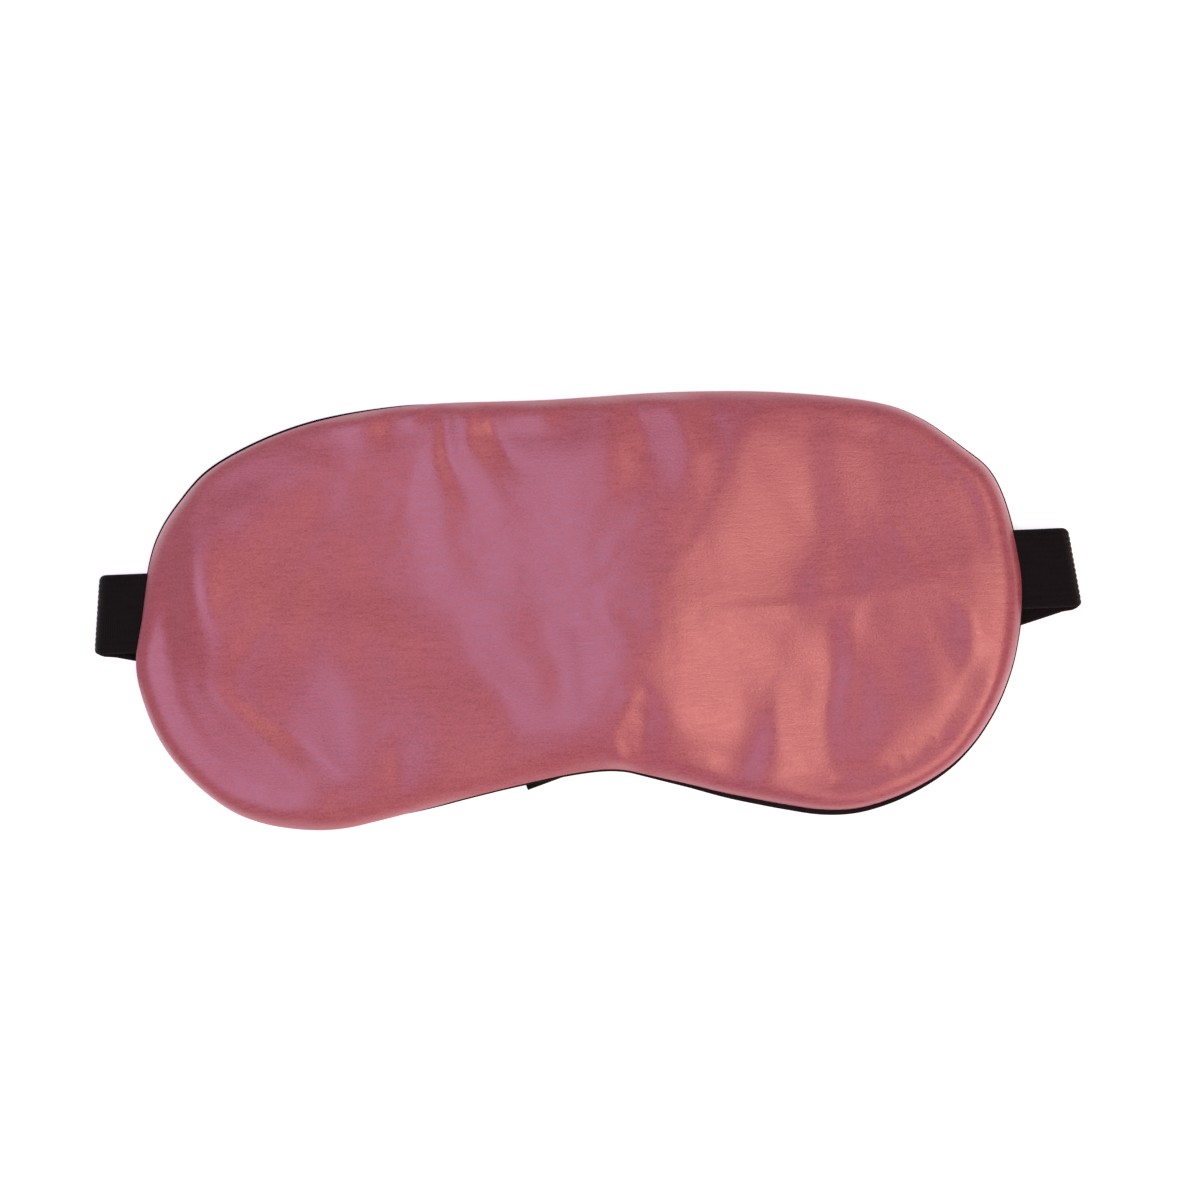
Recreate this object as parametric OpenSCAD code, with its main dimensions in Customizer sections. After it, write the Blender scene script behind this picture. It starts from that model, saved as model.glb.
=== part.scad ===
// Sleep eye mask: padded satin mask body with an adjustable elastic head strap.
// The mask lies face up on a table, with its strap folded flat behind it.
// +X runs along the mask, +Y towards the forehead edge and +Z out of the satin front.
// The origin is on the table, at the middle of the whole object's outline.

/* [Mask body] */
// Length of the mask body over its side seams
mask_w = 211.9; // [204.9:0.2:215.9]
// Height of the mask body from cheek lobes to forehead edge
mask_h = 101.3; // [98.1:0.2:105.9]
// Thickness of the padded body in its middle
body_t = 7.6; // [6.6:0.1:9]
// Thickness of the satin front and of the lining at the back
fabric_t = 0.5; // [0.4:0.05:0.6]
// Thickness of the light-blocking layer under the satin
blackout_t = 0.5; // [0.3:0.05:0.6]
// Distance from the edge over which the body swells to its full thickness
dome_run = 24; // [20:0.5:25]

/* [Strap] */
// Width of the elastic
strap_w = 19; // [17:0.5:19.5]
// Thickness of the elastic
strap_t = 1; // [0.8:0.1:1]
// Inside radius of the creases where the strap turns behind the mask
crease_r = 1.3; // [1.2:0.1:1.4]
// Distance of the left crease from the middle of the mask
left_reach = 114.9; // [112:0.1:117]
// Distance of the right crease from the middle of the mask
right_reach = 118.7; // [115:0.1:120]
// Height of the right strap's root above the middle of the mask
right_root_y = 4.6; // [3:0.1:6]
// Angle at which the left strap slopes down behind the mask
left_slope = 12; // [11:0.1:13]
// Angle at which the right strap slopes down behind the mask
right_slope = 15.8; // [15:0.1:17]
// Length of the right strap from its crease to its cut end
right_run = 139; // [134:0.5:140]

/* [Slider] */
// Distance of the slider from the right crease
slider_at = 75; // [70:1:78]
// Width of the slider across the strap
slider_w = 25; // [24:0.5:26]
// Thickness of the slider
slider_t = 1.4; // [1.2:0.1:1.5]
// Slack between the strap and the slider's bars
slack = 0.2; // [0.15:0.05:0.25]

/* [Thread] */
// Diameter of the sewing thread
thread_d = 0.5; // [0.4:0.05:0.6]

/* [Hidden] */

// Colours
satin = [0.72, 0.38, 0.42];
black_cloth = [0.05, 0.05, 0.06];
black_elastic = [0.07, 0.07, 0.08];
black_plastic = [0.03, 0.03, 0.03];
wadding = [0.93, 0.92, 0.9];
interlining = [0.25, 0.25, 0.27];

// Outline of the mask at its nominal size, clockwise from the left side seam
OUTLINE = [
    [-106, -12.2], [-104.2, 1.9], [-100.6, 18.9], [-93.7, 29.7], [-83.9, 38.3], [-63.9, 46.3], [-38, 50],
    [-6, 50], [26, 50.6], [54, 49.1], [78.1, 44.5], [93.7, 34], [100.7, 26.5], [104.3, 13.9],
    [105.7, -3.1], [100.5, -24.4], [87, -41.6], [64, -50.7], [40.1, -47.4], [18.3, -41.5], [4, -38.8],
    [-20, -42.4], [-45, -47.9], [-64, -50.6], [-84, -45.7], [-99.8, -30.3]
];
outline_size = [211.9, 101.3];
steps = 3;

// Heights above the table
clear = 0.05;
seam_gap = strap_t + 2 * clear;
strap_z = strap_t / 2;
crease_mid_r = crease_r + strap_t / 2;
tab_z = strap_z + 2 * crease_mid_r;
seam_low = fabric_t + seam_gap / 2;
back_z = 5.3;
crown_z = back_z + body_t;

// Distances from the edge at which the layers' heights are set
RINGS = [0, 1.5, 4.5, 9.5, 16, dome_run];

function smooth(t) = let (c = min(1, max(0, t))) c * c * (3 - 2 * c);
function lerp(a, b, t) = a + (b - a) * t;
function unit(v) = v / norm(v);
function heading(angle) = [cos(angle), sin(angle)];
function point3(p, z) = [p[0], p[1], z];

function spline(a, b, c, d, t) =
    (2 * b + (c - a) * t + (2 * a - 5 * b + 4 * c - d) * t * t + (3 * b - 3 * c + d - a) * t * t * t) / 2;

corners = len(OUTLINE);
function corner(i) = let (p = OUTLINE[(i + corners) % corners])
    [p[0] * mask_w / outline_size[0], p[1] * mask_h / outline_size[1]];

RIM = [
    for (i = [0:corners - 1], k = [0:steps - 1])
        spline(corner(i - 1), corner(i), corner(i + 1), corner(i + 2), k / steps)
];
count = len(RIM);

// Unit vectors pointing inwards from the rim
INWARD = [
    for (i = [0:count - 1])
        let (along = unit(RIM[(i + 1) % count] - RIM[(i + count - 1) % count])) [along[1], -along[0]]
];
function inset(i, d) = RIM[i % count] + INWARD[i % count] * d;

// Straight lines that the strap follows behind the mask
right_way = heading(180 + right_slope);
right_crease = [right_reach, right_root_y] - heading(right_slope / 2) * crease_mid_r;
function on_right(u) = right_crease + right_way * u;
slider_mid = on_right(slider_at);

// The left strap leaves the slider in line with it, then bends within its own width
loop_end = on_right(slider_at + 21);
elbow_r = 40;
elbow_mid = loop_end + heading(90 + right_slope) * elbow_r;
function on_elbow(angle) = elbow_mid + heading(angle - 90) * elbow_r;
left_way = heading(-left_slope);
elbow_start = on_elbow(-left_slope);
left_run = (elbow_start[0] + left_reach - crease_mid_r * cos(left_slope / 2)) / left_way[0];
left_crease = elbow_start - left_way * left_run;
left_root_y = left_crease[1] + crease_mid_r * sin(left_slope / 2);

// The whole outline, creases included, is centred on the origin
right_end = right_reach + strap_t / 2 + strap_w / 2 * tan(right_slope / 2);
left_end = left_reach + strap_t / 2 + strap_w / 2 * tan(left_slope / 2);
shift = (left_end - right_end) / 2;

// The rim is lifted where the strap passes under it
function off_line(p, a, b) =
    let (t = min(1, max(0, (p - a) * (b - a) / ((b - a) * (b - a))))) norm(p - a - (b - a) * t);
function off_strap(p) = min(
    off_line(p, right_crease, on_right(right_run)),
    off_line(p, left_crease, elbow_start)
);
lift_near = 12;
lift_fade = 18;
function lift(p) = 1 - smooth((off_strap(p) - lift_near) / lift_fade);
function seam_z(p) = lerp(seam_low, tab_z, lift(p));

// The back is flat next to the seam, then rises sooner than the front
back_lip = 1.5;
back_run = 14.5;
function dome(d, run) = let (t = 1 - min(1, max(0, d / run))) sqrt(1 - t * t);
function top_z(p, d) = lerp(seam_z(p) + seam_gap / 2 + fabric_t, crown_z, dome(d, dome_run));
function back_top_z(p, d) =
    lerp(seam_z(p) - seam_gap / 2, back_z + fabric_t, dome(d - back_lip, back_run));

// One layer of the body: rings of points for its lower face, then for its upper face.
// from is the ring it starts at, below and above are its distances from the faces next to it.
function layer_z(i, d, from_back, gap) =
    from_back ? back_top_z(RIM[i % count], d) + gap : top_z(RIM[i % count], d) - gap;

module layer(from, low_from_back, low_gap, high_from_back, high_gap) {
    n = len(RINGS) - from;
    low = [
        for (r = [from:len(RINGS) - 1], i = [0:count - 1])
            point3(inset(i, RINGS[r]), layer_z(i, RINGS[r], low_from_back, low_gap))
    ];
    high = [
        for (r = [from:len(RINGS) - 1], i = [0:count - 1])
            point3(inset(i, RINGS[r]), layer_z(i, RINGS[r], high_from_back, high_gap))
    ];
    top = n * count;
    faces = [
        for (r = [0:n - 2], i = [0:count - 1])
            let (j = (i + 1) % count, a = r * count)
                each [[a + i, a + count + j, a + count + i], [a + i, a + j, a + count + j]],
        for (r = [0:n - 2], i = [0:count - 1])
            let (j = (i + 1) % count, a = top + r * count)
                each [[a + i, a + count + i, a + count + j], [a + i, a + count + j, a + j]],
        for (i = [0:count - 1])
            let (j = (i + 1) % count)
                each [[i, top + i, top + j], [i, top + j, j]],
        [for (i = [0:count - 1]) (n - 1) * count + i],
        [for (i = [0:count - 1]) top + (n - 1) * count + count - 1 - i]
    ];
    translate([shift, 0, 0])
        polyhedron(points = concat(low, high), faces = faces);
}

// A flat band of strap: path is its middle line, across holds a half-width vector for each point
module band(path, across) {
    last = len(path) - 1;
    points = [
        for (i = [0:last])
            let (
                along = unit(path[min(last, i + 1)] - path[max(0, i - 1)]),
                out = unit(cross(along, across[i])) * strap_t / 2
            )
                each [
                    path[i] - across[i] - out, path[i] + across[i] - out,
                    path[i] + across[i] + out, path[i] - across[i] + out
                ]
    ];
    sides = [
        for (i = [0:last - 1], k = [0:3])
            let (a = 4 * i + k, b = 4 * i + (k + 1) % 4)
                each [[a, a + 4, b + 4], [a, b + 4, b]]
    ];
    translate([shift, 0, 0])
        polyhedron(points = points, faces = concat(sides, [[0, 1, 2, 3], [for (k = [3:-1:0]) 4 * last + k]]));
}

// Crease: half a turn about an axis in the table's plane, from the tab above to the run below
crease_steps = 6;
function out_tilt(out) = out > 90 ? 180 - out : out;
function crease_axis(out) = (out > 90 ? -1 : 1) * [-sin(out), cos(out), 0];
function crease_half(out) = crease_axis(out) * strap_w / 2 / cos(out_tilt(out));
function crease_path(mid, out, from, to) = [
    for (k = [0:crease_steps])
        let (
            a = lerp(from, to, k / crease_steps),
            drift = tan(out_tilt(out)) * crease_mid_r * a * PI / 180
        )
            point3(mid, strap_z + crease_mid_r)
                + point3(heading(out), 0) * crease_mid_r * cos(a)
                + crease_axis(out) * drift
                + [0, 0, crease_mid_r * sin(a)]
];
right_out = right_slope / 2;
left_out = 180 - left_slope / 2;
// Half the gap between a strap's two nodes, as an angle of its crease
split = 4;

// Strap ends that are sewn into the side seams. Each root follows the rim, which leans there.
root_insets = [3.9, 1.2];
root_lift = 0.3;
left_rim = [-104 * mask_w / outline_size[0], 0.19];
right_rim = [105.7 * mask_w / outline_size[0], -0.075];
function root_z(p, d) = back_top_z(p, d) + strap_t / 2 + root_lift;
module strap_anchor(side, rim, mid, out) {
    folded = crease_path(mid, out, 90, split);
    y = folded[0][1];
    inner = [
        [rim[0] - side * root_insets[0], y, root_z([rim[0], y], root_insets[0])],
        [rim[0] - side * root_insets[1], y, tab_z + clear]
    ];
    outer = [rim[0] + side * root_insets[1], y, tab_z];
    path = concat(inner, [outer], folded);
    root_half = [rim[1], 1, 0] * strap_w / 2;
    band(path, [for (i = [0:len(path) - 1]) i < len(inner) ? root_half : crease_half(out)]);
}

module left_strap_anchor() {
    color(black_elastic)
        strap_anchor(-1, left_rim, left_crease, left_out);
}

module right_strap_anchor() {
    color(black_elastic)
        strap_anchor(1, right_rim, right_crease, right_out);
}

// Slider: three bars and two slots. Distances along the strap are from its middle.
bar_u = [-5.6, -0.6, 5.6];
bar_half = [1.2, 1.2, 1.2];
slot_w = strap_w + 0.8;
slider_len = bar_u[2] - bar_u[0] + bar_half[0] + bar_half[2];
slider_z = 3;
loop_low_z = slider_z - slider_t / 2 - slack - strap_t / 2;
loop_high_z = slider_z + slider_t / 2 + slack + strap_t / 2;
slider_round = 2;

module at_slider() {
    translate([shift + slider_mid[0], slider_mid[1], 0])
        rotate(180 + right_slope)
            children();
}

module slider() {
    color(black_plastic)
        at_slider()
            translate([0, 0, slider_z - slider_t / 2])
                difference() {
                    slider_plate();
                    slot(bar_u[0] + bar_half[0], bar_u[1] - bar_half[1]);
                    slot(bar_u[1] + bar_half[1], bar_u[2] - bar_half[2]);
                }
}

module slider_plate() {
    x0 = bar_u[0] - bar_half[0];
    translate([x0, slider_round - slider_w / 2, 0])
        cube([slider_len, slider_w - 2 * slider_round, slider_t]);
    translate([x0 + slider_round, -slider_w / 2, 0])
        cube([slider_len - 2 * slider_round, slider_w, slider_t]);
    for (u = [x0 + slider_round, x0 + slider_len - slider_round], v = [-1, 1])
        translate([u, v * (slider_w / 2 - slider_round), 0])
            cylinder(h = slider_t, r = slider_round, $fn = 48);
}

module slot(from, to) {
    translate([from, -slot_w / 2, -1])
        cube([to - from, slot_w, slider_t + 2]);
}

// Right strap: under the first bar, over the middle bar, then under the last bar and its loop
weave_top = 1.5;
weave_run = 2.4;
function weave_z(w) = lerp(strap_z, loop_high_z, smooth(1 - (abs(w) - weave_top) / weave_run));
weave_steps = 20;
module right_strap() {
    folded = crease_path(right_crease, right_out, -split, -90);
    woven = [
        for (k = [0:weave_steps])
            let (w = lerp(-1, 1, k / weave_steps) * (weave_top + weave_run))
                point3(on_right(slider_at + bar_u[1] + w), weave_z(w))
    ];
    start = point3(on_right(6), strap_z);
    tail = point3(on_right(right_run), strap_z);
    path = concat(folded, [start], woven, [tail]);
    half = point3(heading(90 + right_slope), 0) * strap_w / 2;
    color(black_elastic)
        band(path, [for (i = [0:len(path) - 1]) i < len(folded) ? crease_half(right_out) : half]);
}

// Left strap, from its crease to the end of its sewn loop. It lies over the right strap's tail.
over_tail_z = strap_t + 0.4 + strap_t / 2;
elbow_steps = 8;
module left_strap() {
    folded = crease_path(left_crease, left_out, -split, -90);
    level = [[8, strap_z], [84, strap_z], [90, 0.7], [95, 1.2], [100, over_tail_z]];
    straight = [for (s = level) point3(left_crease + left_way * s[0], s[1])];
    half = point3(heading(90 - left_slope), 0) * strap_w / 2;
    turns = [for (k = [0:elbow_steps]) lerp(-left_slope, right_slope, k / elbow_steps)];
    elbow = [
        for (k = [0:elbow_steps])
            point3(on_elbow(turns[k]), lerp(over_tail_z, loop_low_z, k / elbow_steps))
    ];
    color(black_elastic)
        band(
            concat(folded, straight, elbow),
            concat(
                [for (p = folded) crease_half(left_out)],
                [for (p = straight) half],
                [for (a = turns) point3(heading(90 + a), 0) * strap_w / 2]
            )
        );
}

// Loop sewn round the slider's last bar: its long ply, the turn and its short ply
turn_steps = 10;
turn_r = (loop_high_z - loop_low_z) / 2;
ply_end = 20.9;
ply_gap = 0.04;
module left_strap_loop() {
    turn_u = bar_u[2] - 0.7;
    plies = [
        [ply_end, loop_low_z], [turn_u, loop_low_z],
        for (k = [1:turn_steps - 1])
            let (a = 180 * k / turn_steps)
                [turn_u - turn_r * sin(a), slider_z - turn_r * cos(a)],
        [turn_u, loop_high_z], [turn_u + 2.2, loop_high_z],
        [turn_u + 6, loop_low_z + strap_t + ply_gap], [ply_end - 2, loop_low_z + strap_t + ply_gap]
    ];
    half = point3(heading(90 + right_slope), 0) * strap_w / 2;
    path = [for (p = plies) point3(on_right(slider_at + p[0]), p[1])];
    color(black_elastic)
        band(path, [for (p = path) half]);
}

// Sewing threads
stitch_facets = 16;
module stitch_row(u, low, high, n) {
    pitch = (strap_w - 3) / (n - 1);
    for (i = [0:n - 1])
        translate([u, i * pitch - (strap_w - 3) / 2, low])
            cylinder(h = high - low, d = thread_d, $fn = stitch_facets);
}

module loop_tack() {
    low = loop_low_z - strap_t / 2;
    high = loop_low_z + 1.5 * strap_t + ply_gap + 0.2;
    color(black_cloth)
        at_slider()
            for (u = [14.5, 16.5])
                stitch_row(u, low, high, 9);
}

module tail_stitches() {
    color(black_cloth)
        at_slider()
            for (u = [3.5, 5.5])
                stitch_row(right_run - slider_at - u, 0.2, strap_t + 0.2, 9);
}

module anchor_tacks() {
    tack_inset = 2.7;
    color(black_cloth)
        for (side = [-1, 1]) {
            rim = side < 0 ? left_rim : right_rim;
            y = side < 0 ? left_root_y : right_root_y;
            z = root_z([rim[0], y], tack_inset);
            translate([shift + rim[0] - side * tack_inset, y, 0])
                rotate(-atan(rim[1]))
                    stitch_row(0, z - strap_t / 2, z + strap_t / 2 + 0.3, 9);
        }
}

module edge_seam() {
    sides = 6;
    seam_inset = 1.1;
    points = [
        for (i = [0:count - 1], k = [0:sides - 1])
            let (a = 360 * k / sides, p = inset(i, seam_inset + thread_d / 2 * cos(a)))
                point3(p, seam_z(RIM[i]) + thread_d / 2 * sin(a))
    ];
    faces = [
        for (i = [0:count - 1], k = [0:sides - 1])
            let (j = (i + 1) % count, m = (k + 1) % sides)
                each [
                    [sides * i + k, sides * j + k, sides * j + m],
                    [sides * i + k, sides * j + m, sides * i + m]
                ]
    ];
    color(black_cloth)
        translate([shift, 0, 0])
            polyhedron(points = points, faces = faces);
}

// Hand stitches that close the turning gap in the forehead edge
closing_from = 19;
closing_to = 25;
module closing_stitches() {
    stitch = 2.4;
    color(satin)
        for (i = [closing_from:closing_to - 1], k = [0:2]) {
            p = lerp(RIM[i], RIM[i + 1], k / 3);
            along = RIM[i + 1] - RIM[i];
            translate([shift + p[0], p[1] - 0.35, seam_z(p)])
                rotate([0, 0, atan2(along[1], along[0])])
                    rotate([0, 90, 0])
                        cylinder(h = stitch, d = thread_d, $fn = stitch_facets);
        }
}

module front_panel() {
    color(satin)
        layer(0, false, fabric_t, false, 0);
}

module blackout_layer() {
    color(interlining)
        layer(1, false, fabric_t + clear + blackout_t, false, fabric_t + clear);
}

module padding() {
    color(wadding)
        layer(2, true, clear, false, fabric_t + blackout_t + 2 * clear);
}

module back_panel() {
    color(black_cloth)
        layer(0, true, -fabric_t, true, 0);
}

front_panel();
blackout_layer();
padding();
back_panel();
edge_seam();
closing_stitches();
left_strap_anchor();
right_strap_anchor();
anchor_tacks();
left_strap();
right_strap();
tail_stitches();
slider();
left_strap_loop();
loop_tack();
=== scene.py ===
import math

import bmesh
import bpy
import numpy as np
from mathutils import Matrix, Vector, geometry


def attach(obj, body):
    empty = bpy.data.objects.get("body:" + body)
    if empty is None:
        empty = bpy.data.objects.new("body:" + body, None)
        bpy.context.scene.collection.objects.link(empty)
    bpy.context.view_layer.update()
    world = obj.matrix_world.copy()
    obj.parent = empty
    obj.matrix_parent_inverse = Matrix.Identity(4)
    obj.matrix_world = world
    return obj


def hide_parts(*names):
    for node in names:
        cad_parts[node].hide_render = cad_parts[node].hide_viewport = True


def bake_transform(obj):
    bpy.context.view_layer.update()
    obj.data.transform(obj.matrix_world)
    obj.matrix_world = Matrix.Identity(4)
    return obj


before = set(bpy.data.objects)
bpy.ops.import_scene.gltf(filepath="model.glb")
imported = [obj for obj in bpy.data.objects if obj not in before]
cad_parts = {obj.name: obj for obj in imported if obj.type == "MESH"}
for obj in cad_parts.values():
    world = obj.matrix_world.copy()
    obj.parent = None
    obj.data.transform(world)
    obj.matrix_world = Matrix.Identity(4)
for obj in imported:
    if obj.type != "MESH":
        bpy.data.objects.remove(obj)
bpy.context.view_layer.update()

# All shapes below are worked out in millimetres, in the row frame, and scaled when their mesh is made.
MM = 0.001


# ---------------------------------------------------------------- camera

PICTURE_MID = (3.09, 1.64)
PICTURE_WIDTH = 285.0
PICTURE_Z = 8.0
PICTURE_TURN = math.radians(-2.4)
LENS, SENSOR = 85.0, 36.0

camera_data = bpy.data.cameras.new("camera")
camera_data.lens = LENS
camera_data.sensor_width = SENSOR
camera = bpy.data.objects.new("camera", camera_data)
bpy.context.scene.collection.objects.link(camera)
camera.location = (
    PICTURE_MID[0] * MM, PICTURE_MID[1] * MM, (PICTURE_Z + PICTURE_WIDTH * LENS / SENSOR) * MM
)
camera.rotation_euler = (0, 0, PICTURE_TURN)
bpy.context.scene.camera = camera


# ---------------------------------------------------------------- small helpers

def lerp(a, b, t):
    return a + (b - a) * t


def smooth(t):
    t = np.clip(t, 0, 1)
    return t * t * (3 - 2 * t)


def unit(v):
    v = np.asarray(v, float)
    return v / np.linalg.norm(v, axis=-1, keepdims=True)


def heading(degrees):
    return np.array([math.cos(math.radians(degrees)), math.sin(math.radians(degrees))])


def catmull_rom(a, b, c, d, t):
    """The point at share t of the way from b to c, on a curve through all four."""
    return (2 * b + (c - a) * t + (2 * a - 5 * b + 4 * c - d) * t * t + (3 * b - 3 * c + d - a) * t ** 3) / 2


def ripple(points, size, seed):
    """A smooth wandering value near -1 to 1 for each point, made of sines, with waves about size long."""
    rng = np.random.default_rng(seed)
    points = np.asarray(points, float)
    total = np.zeros(len(points))
    for _ in range(7):
        angle = rng.uniform(0, 2 * math.pi)
        wave = rng.uniform(0.6, 1.6) * size
        phase = rng.uniform(0, 2 * math.pi)
        along = points[:, 0] * math.cos(angle) + points[:, 1] * math.sin(angle)
        total += np.sin(2 * math.pi * along / wave + phase)
    return total / 3.5


def new_object(name, verts_mm, faces, material, smooth_faces=True):
    mesh = bpy.data.meshes.new(name)
    verts = [tuple(v) for v in np.asarray(verts_mm, float) * MM]
    mesh.from_pydata(verts, [], [tuple(map(int, f)) for f in faces])
    mesh.validate()
    mesh.update()
    if smooth_faces:
        mesh.polygons.foreach_set("use_smooth", [True] * len(mesh.polygons))
    obj = bpy.data.objects.new(name, mesh)
    bpy.context.scene.collection.objects.link(obj)
    if material:
        mesh.materials.append(material)
    return obj


def set_uv(obj, uv):
    layer = obj.data.uv_layers.new(name="UVMap")
    index = np.zeros(len(obj.data.loops), int)
    obj.data.loops.foreach_get("vertex_index", index)
    layer.data.foreach_set("uv", np.asarray(uv, float)[index].ravel())


def apply_modifiers(obj):
    bpy.context.view_layer.update()
    graph = bpy.context.evaluated_depsgraph_get()
    shaped = obj.evaluated_get(graph)
    made = bpy.data.meshes.new_from_object(shaped, preserve_all_data_layers=True, depsgraph=graph)
    obj.modifiers.clear()
    old = obj.data
    obj.data = made
    made.name = obj.name
    bpy.data.meshes.remove(old)
    made.polygons.foreach_set("use_smooth", [True] * len(made.polygons))
    return obj


# ---------------------------------------------------------------- materials

class Nodes:
    """Short ways to build a material's node tree."""

    def __init__(self, name):
        self.material = bpy.data.materials.new(name)
        self.material.use_nodes = True
        self.tree = self.material.node_tree
        self.shader = self.tree.nodes["Principled BSDF"]

    def add(self, kind, **settings):
        node = self.tree.nodes.new(kind)
        for key, value in settings.items():
            setattr(node, key, value)
        return node

    def link(self, a, b):
        self.tree.links.new(a, b)

    def set(self, **values):
        for key, value in values.items():
            self.shader.inputs[key.replace("_", " ")].default_value = value

    def drive(self, **outputs):
        for key, output in outputs.items():
            self.link(output, self.shader.inputs[key.replace("_", " ")])

    def coords(self, scale, kind="Object"):
        source = self.add("ShaderNodeTexCoord")
        mapping = self.add("ShaderNodeMapping")
        mapping.inputs["Scale"].default_value = scale
        self.link(source.outputs[kind], mapping.inputs["Vector"])
        return mapping.outputs["Vector"]

    def noise(self, scale, kind="Object", detail=3.0, roughness=0.55):
        node = self.add("ShaderNodeTexNoise")
        node.inputs["Scale"].default_value = 1.0
        node.inputs["Detail"].default_value = detail
        node.inputs["Roughness"].default_value = roughness
        self.link(self.coords(scale, kind), node.inputs["Vector"])
        return node.outputs["Fac"]

    def wave(self, scale, kind="UV", direction="Y"):
        node = self.add("ShaderNodeTexWave", wave_type="BANDS", wave_profile="SIN")
        node.bands_direction = direction
        node.inputs["Scale"].default_value = 1.0
        self.link(self.coords(scale, kind), node.inputs["Vector"])
        return node.outputs["Fac"]

    def remap(self, value, low, high, a=0.0, b=1.0):
        """Turns a to b into low to high, and holds values beyond them."""
        node = self.add("ShaderNodeMapRange")
        for socket, number in zip(("From Min", "From Max", "To Min", "To Max"), (a, b, low, high)):
            node.inputs[socket].default_value = number
        self.link(value, node.inputs["Value"])
        return node.outputs["Result"]

    def mix(self, fac, a, b):
        node = self.add("ShaderNodeMix", data_type="RGBA")
        self.link(fac, node.inputs["Factor"])
        for socket, value in ((node.inputs[6], a), (node.inputs[7], b)):
            if isinstance(value, tuple):
                socket.default_value = (*value, 1.0)
            else:
                self.link(value, socket)
        return node.outputs[2]

    def sum(self, a, b, share):
        """a plus a share of b."""
        node = self.add("ShaderNodeMath", operation="MULTIPLY_ADD")
        self.link(b, node.inputs[0])
        node.inputs[1].default_value = share
        self.link(a, node.inputs[2])
        return node.outputs[0]

    def bump(self, height, distance, strength=1.0):
        node = self.add("ShaderNodeBump")
        node.inputs["Distance"].default_value = distance
        node.inputs["Strength"].default_value = strength
        self.link(height, node.inputs["Height"])
        self.link(node.outputs["Normal"], self.shader.inputs["Normal"])


def satin_material(name):
    """Polyester satin: threads float along X, so that its sheen is tight along X and wide along Y."""
    m = Nodes(name)
    streaks = m.noise((200, 1500, 200), detail=4, roughness=0.6)
    grain = m.noise((1900, 2600, 1900), detail=2)
    clouds = m.noise((22, 22, 22), detail=2)
    base = m.mix(m.remap(clouds, 0, 1, 0.35, 0.65), (0.305, 0.072, 0.088), (0.34, 0.084, 0.103))
    base = m.mix(m.remap(streaks, 0, 0.8, 0.36, 0.64), base, (0.41, 0.114, 0.14))
    base = m.mix(m.remap(grain, 0, 0.8, 0.36, 0.68), base, (0.47, 0.142, 0.178))
    weave = m.sum(streaks, grain, 1.0)
    m.drive(Base_Color=base, Roughness=m.remap(weave, 0.3, 0.44, 0.7, 1.3))
    m.set(Anisotropic=0.7, Anisotropic_Rotation=0.25, Specular_IOR_Level=1.0)
    tangent = m.add("ShaderNodeTangent", direction_type="UV_MAP", uv_map="UVMap")
    m.drive(Tangent=tangent.outputs["Tangent"])
    m.bump(weave, 0.0001, 0.5)
    return m.material


def lining_material(name, colour):
    """Plain weave: two crossed fine waves with some fluff."""
    m = Nodes(name)
    warp = m.wave((480, 480, 480), "UV", "X")
    weft = m.wave((480, 480, 480), "UV", "Y")
    fluff = m.noise((420, 420, 420), detail=4)
    weave = m.sum(warp, weft, 1.0)
    light = tuple(min(1.0, c * 2.2 + 0.004) for c in colour)
    m.drive(Base_Color=m.mix(m.remap(fluff, 0, 0.7, 0.35, 0.75), colour, light))
    m.set(Roughness=0.78, Specular_IOR_Level=0.15, Sheen_Weight=0.03, Sheen_Roughness=0.5)
    m.bump(m.sum(weave, fluff, 0.8), 0.00008, 0.6)
    return m.material


def elastic_material(name):
    """Braided elastic: fine cross picks on lengthwise ribs, from the strap's own length and width."""
    m = Nodes(name)
    picks = m.wave((620, 620, 620), "UV", "X")
    threads = m.wave((1480, 1480, 1480), "UV", "Y")
    wear = m.noise((140, 900, 1), "UV", detail=4)
    base = m.mix(m.remap(wear, 0, 1, 0.35, 0.75), (0.0016, 0.0019, 0.0024), (0.0055, 0.0062, 0.0075))
    m.drive(Base_Color=base, Roughness=m.remap(wear, 0.5, 0.66, 0.3, 0.7))
    m.set(Specular_IOR_Level=0.22)
    m.bump(m.sum(m.sum(picks, threads, 0.6), wear, 0.5), 0.0001, 0.9)
    return m.material


def thread_material(name, colour, shine):
    """Two-ply sewing thread."""
    m = Nodes(name)
    plies = m.wave((1600, 1600, 1600), "Object", "DIAGONAL")
    fibres = m.noise((3000, 3000, 3000), detail=3)
    light = tuple(min(1.0, c * 1.6 + 0.01) for c in colour)
    m.drive(Base_Color=m.mix(fibres, colour, light))
    m.set(Roughness=shine, Sheen_Weight=0.2)
    m.bump(m.sum(plies, fibres, 0.4), 0.0001, 0.7)
    return m.material


def plastic_material(name):
    """Moulded acetal, with a fine moulded grain and faint scuffs."""
    m = Nodes(name)
    grain = m.noise((1800, 1800, 1800), detail=3)
    scuffs = m.noise((260, 30, 60), detail=5)
    base = m.mix(m.remap(scuffs, 0, 1, 0.55, 0.8), (0.006, 0.006, 0.0065), (0.02, 0.02, 0.021))
    m.drive(Base_Color=base, Roughness=m.remap(scuffs, 0.26, 0.44, 0.4, 0.8))
    m.set(Specular_IOR_Level=0.5)
    m.bump(grain, 0.00004, 0.5)
    return m.material


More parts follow.
